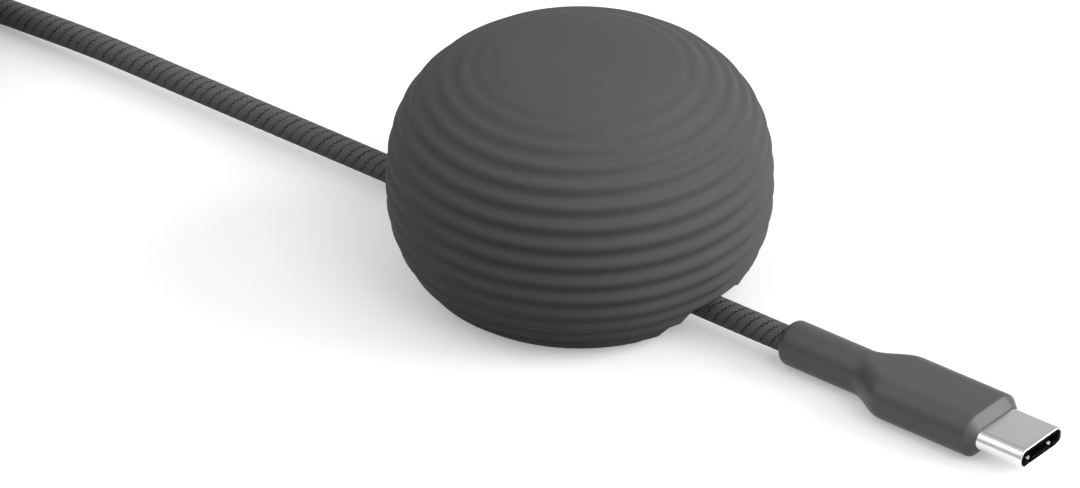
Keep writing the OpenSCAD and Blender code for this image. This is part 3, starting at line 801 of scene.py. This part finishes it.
def make_cover():
    """The silicone cover: ribbed outside, smooth inside, with a soft lip round the foot and both arches."""
    over_arch = np.radians(np.arange(-ARCH_SPAN, ARCH_SPAN, ARCH_TURN_STEP))
    between = np.radians(np.arange(ARCH_SPAN, 180 - ARCH_SPAN, TURN_STEP))
    rows = []
    for a in np.r_[over_arch, between, over_arch + np.pi, between + np.pi]:
        section = cover_section(a)
        r = section[:, 0]
        rows.append(np.column_stack([r * math.cos(a), r * math.sin(a), section[:, 1]]))
    rows = np.array(rows)
    rings = rows.transpose(1, 0, 2)[1:-1]
    inner_top, outer_top = rows[0, 0], rows[0, -1]
    count, around = rings.shape[:2]
    vertices = np.vstack([rings.reshape(-1, 3), inner_top, outer_top])
    faces = loft_faces(count, around)
    inner, outer = count * around, count * around + 1
    last = (count - 1) * around
    faces += [(inner, (k + 1) % around, k) for k in range(around)]
    faces += [(outer, last + k, last + (k + 1) % around) for k in range(around)]
    cover = new_piece("silicone_cover", vertices, faces, "silicone", "weight")
    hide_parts("weight_cover")
    return cover


# Plugs

SKIN_AROUND = 96


def stadium(x, half_w, half_h):
    """A ring of points: a bar's outline with round ends, across the plug."""
    straight = max(half_w - half_h, 0)
    a = np.linspace(-np.pi / 2, np.pi / 2, SKIN_AROUND // 2)
    right = np.column_stack([np.full(len(a), x), straight + half_h * np.cos(a), half_h * np.sin(a)])
    left = np.column_stack([np.full(len(a), x), -straight - half_h * np.cos(a), -half_h * np.sin(a)])
    return np.vstack([right, left])


def place(points, plug):
    """Points of a plug, moved to where that plug lies."""
    m = np.array(PLUGS[plug])
    return np.asarray(points) @ m[:3, :3].T + m[:3, 3]


# Hole round the cord: how deep it is modelled, and the edge at its mouth
HOLE_DEPTH = 2.0
HOLE_EDGE = 0.15
HOLE_FLARE = 0.1
REAR_STEPS = 9
BODY_START = 1.6
BODY_STEP = 0.4
# The rounded change from the body to the sloping front: half its length and where its rings are
FRONT_EDGE = 0.16
FRONT_EDGE_RINGS = (0, 0.08, 0.2, 0.36, 0.55, 0.78, 1)
FRONT_STEPS = 9
# Slot round the shell: its room, its soft edge and how deep it is modelled
SLOT_GAP = 0.005
SLOT_FLARE = 0.04
SLOT_EDGE = 0.06
SLOT_DEPTH = 1.5


def boot_half_w(x):
    """Half the boot's width at a distance from its rear."""
    opening = float(ease((x - RELIEF_LEN) / NECK_LEN))
    return BOOT_H / 2 + (BOOT_W - BOOT_H) / 2 * opening + LEAST_STRAIGHT


def front_ring(x, share, lip_w, lip_h):
    """A ring of the sloping front, at a share of the way from the boot's full outline to the lip."""
    half_w = BOOT_W / 2 + (lip_w - BOOT_W / 2) * share
    half_h = BOOT_H / 2 + (lip_h - BOOT_H / 2) * share
    return stadium(x, half_w, half_h)


def make_boot(plug):
    """The one-piece moulded boot, from the lip round the cord to the slot round the shell."""
    hole = CORD_R + FIT
    flared = hole + HOLE_FLARE
    rings = [
        stadium(HOLE_DEPTH, hole, hole),
        stadium(HOLE_EDGE, hole, hole),
        stadium(0.0, flared, flared),
    ]
    for a in np.radians(np.linspace(0, 90, REAR_STEPS)):
        r = BOOT_H / 2 - BOOT_REAR_R * (1 - math.sin(a))
        rings.append(stadium(BOOT_REAR_R * (1 - math.cos(a)), r + LEAST_STRAIGHT, r))
    front = BOOT_LEN - FRONT_LEN
    for x in np.arange(BODY_START, front - FRONT_EDGE, BODY_STEP):
        rings.append(stadium(x, boot_half_w(x), BOOT_H / 2))
    slot_w, slot_h = SHELL_W / 2 + SLOT_GAP, SHELL_H / 2 + SLOT_GAP
    lip_w, lip_h = slot_w + FRONT_LIP, slot_h + FRONT_LIP
    for t in FRONT_EDGE_RINGS:
        share = FRONT_EDGE * t * t / FRONT_LEN
        rings.append(front_ring(front - FRONT_EDGE + 2 * FRONT_EDGE * t, share, lip_w, lip_h))
    for share in np.linspace(FRONT_EDGE / FRONT_LEN, 1, FRONT_STEPS)[1:]:
        rings.append(front_ring(front + FRONT_LEN * share, share, lip_w, lip_h))
    rings.append(stadium(BOOT_LEN, slot_w + SLOT_FLARE, slot_h + SLOT_FLARE))
    rings.append(stadium(BOOT_LEN - SLOT_EDGE, slot_w, slot_h))
    rings.append(stadium(BOOT_LEN - SLOT_DEPTH, slot_w, slot_h))
    vertices = place(np.vstack(rings), plug)
    faces = loft_faces(len(rings), SKIN_AROUND)
    piece = new_piece(plug + "_boot_skin", vertices, faces, "boot_plastic", "cable")
    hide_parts("boot" if plug == "near" else "far_boot")
    return piece


# Rings of the shell: how far inside the boot they start, how many there are outside, round the mouth and
# inside, and the angles of the rolled mouth
SHELL_OVERLAP = 1
OUTER_STEPS = 12
MOUTH_STEPS = 11
INNER_STEPS = 10
MOUTH_FROM = 15
MOUTH_TO = 165


def make_shell(plug):
    """The drawn steel shell with its rolled mouth."""
    tip = BOOT_LEN + SHELL_OUT
    back = BOOT_LEN - SHELL_IN
    r = SHELL_T / 2
    mouth = np.radians(np.linspace(MOUTH_FROM, MOUTH_TO, MOUTH_STEPS))
    profile = [(back, 0.0)]
    profile += [(x, 0.0) for x in np.linspace(BOOT_LEN - SHELL_OVERLAP, tip - r, OUTER_STEPS)]
    profile += [(tip - r + r * math.sin(a), r - r * math.cos(a)) for a in mouth]
    profile += [(x, SHELL_T) for x in np.linspace(tip - r, back, INNER_STEPS)]
    rings = [stadium(x, SHELL_W / 2 - inset, SHELL_H / 2 - inset) for x, inset in profile]
    vertices = place(np.vstack(rings), plug)
    faces = loft_faces(len(rings), SKIN_AROUND, joined=True)
    piece = new_piece(plug + "_shell_skin", vertices, faces, "shell_steel", "cable")
    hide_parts("shell" if plug == "near" else "far_shell")
    return piece


def fix_normals(piece):
    """Faces all look outwards."""
    shape = bmesh.new()
    shape.from_mesh(piece.data)
    bmesh.ops.recalc_face_normals(shape, faces=shape.faces)
    shape.to_mesh(piece.data)
    shape.free()


finish_cad_nodes()
add_camera()
cord, cord_path, cord_length = make_cord()
tie = make_tie()
add_floor()
add_light()
cover = make_cover()
skins = [make(plug) for plug in PLUGS for make in (make_boot, make_shell)]
for piece in [cord, tie, cover, *skins]:
    fix_normals(piece)

# The pieces of both plugs that ride on the cord's ends
END_NODES = [
    "housing", "upper_contacts", "lower_contacts", "latch_plate", "upper_ground_spring",
    "lower_ground_spring", "inner_mould", "paddle_card", "shield_can",
]
on_cord = [tie, *skins]
on_cord += [frame["nodes"][prefix + n] for prefix in ("", "far_") for n in END_NODES]
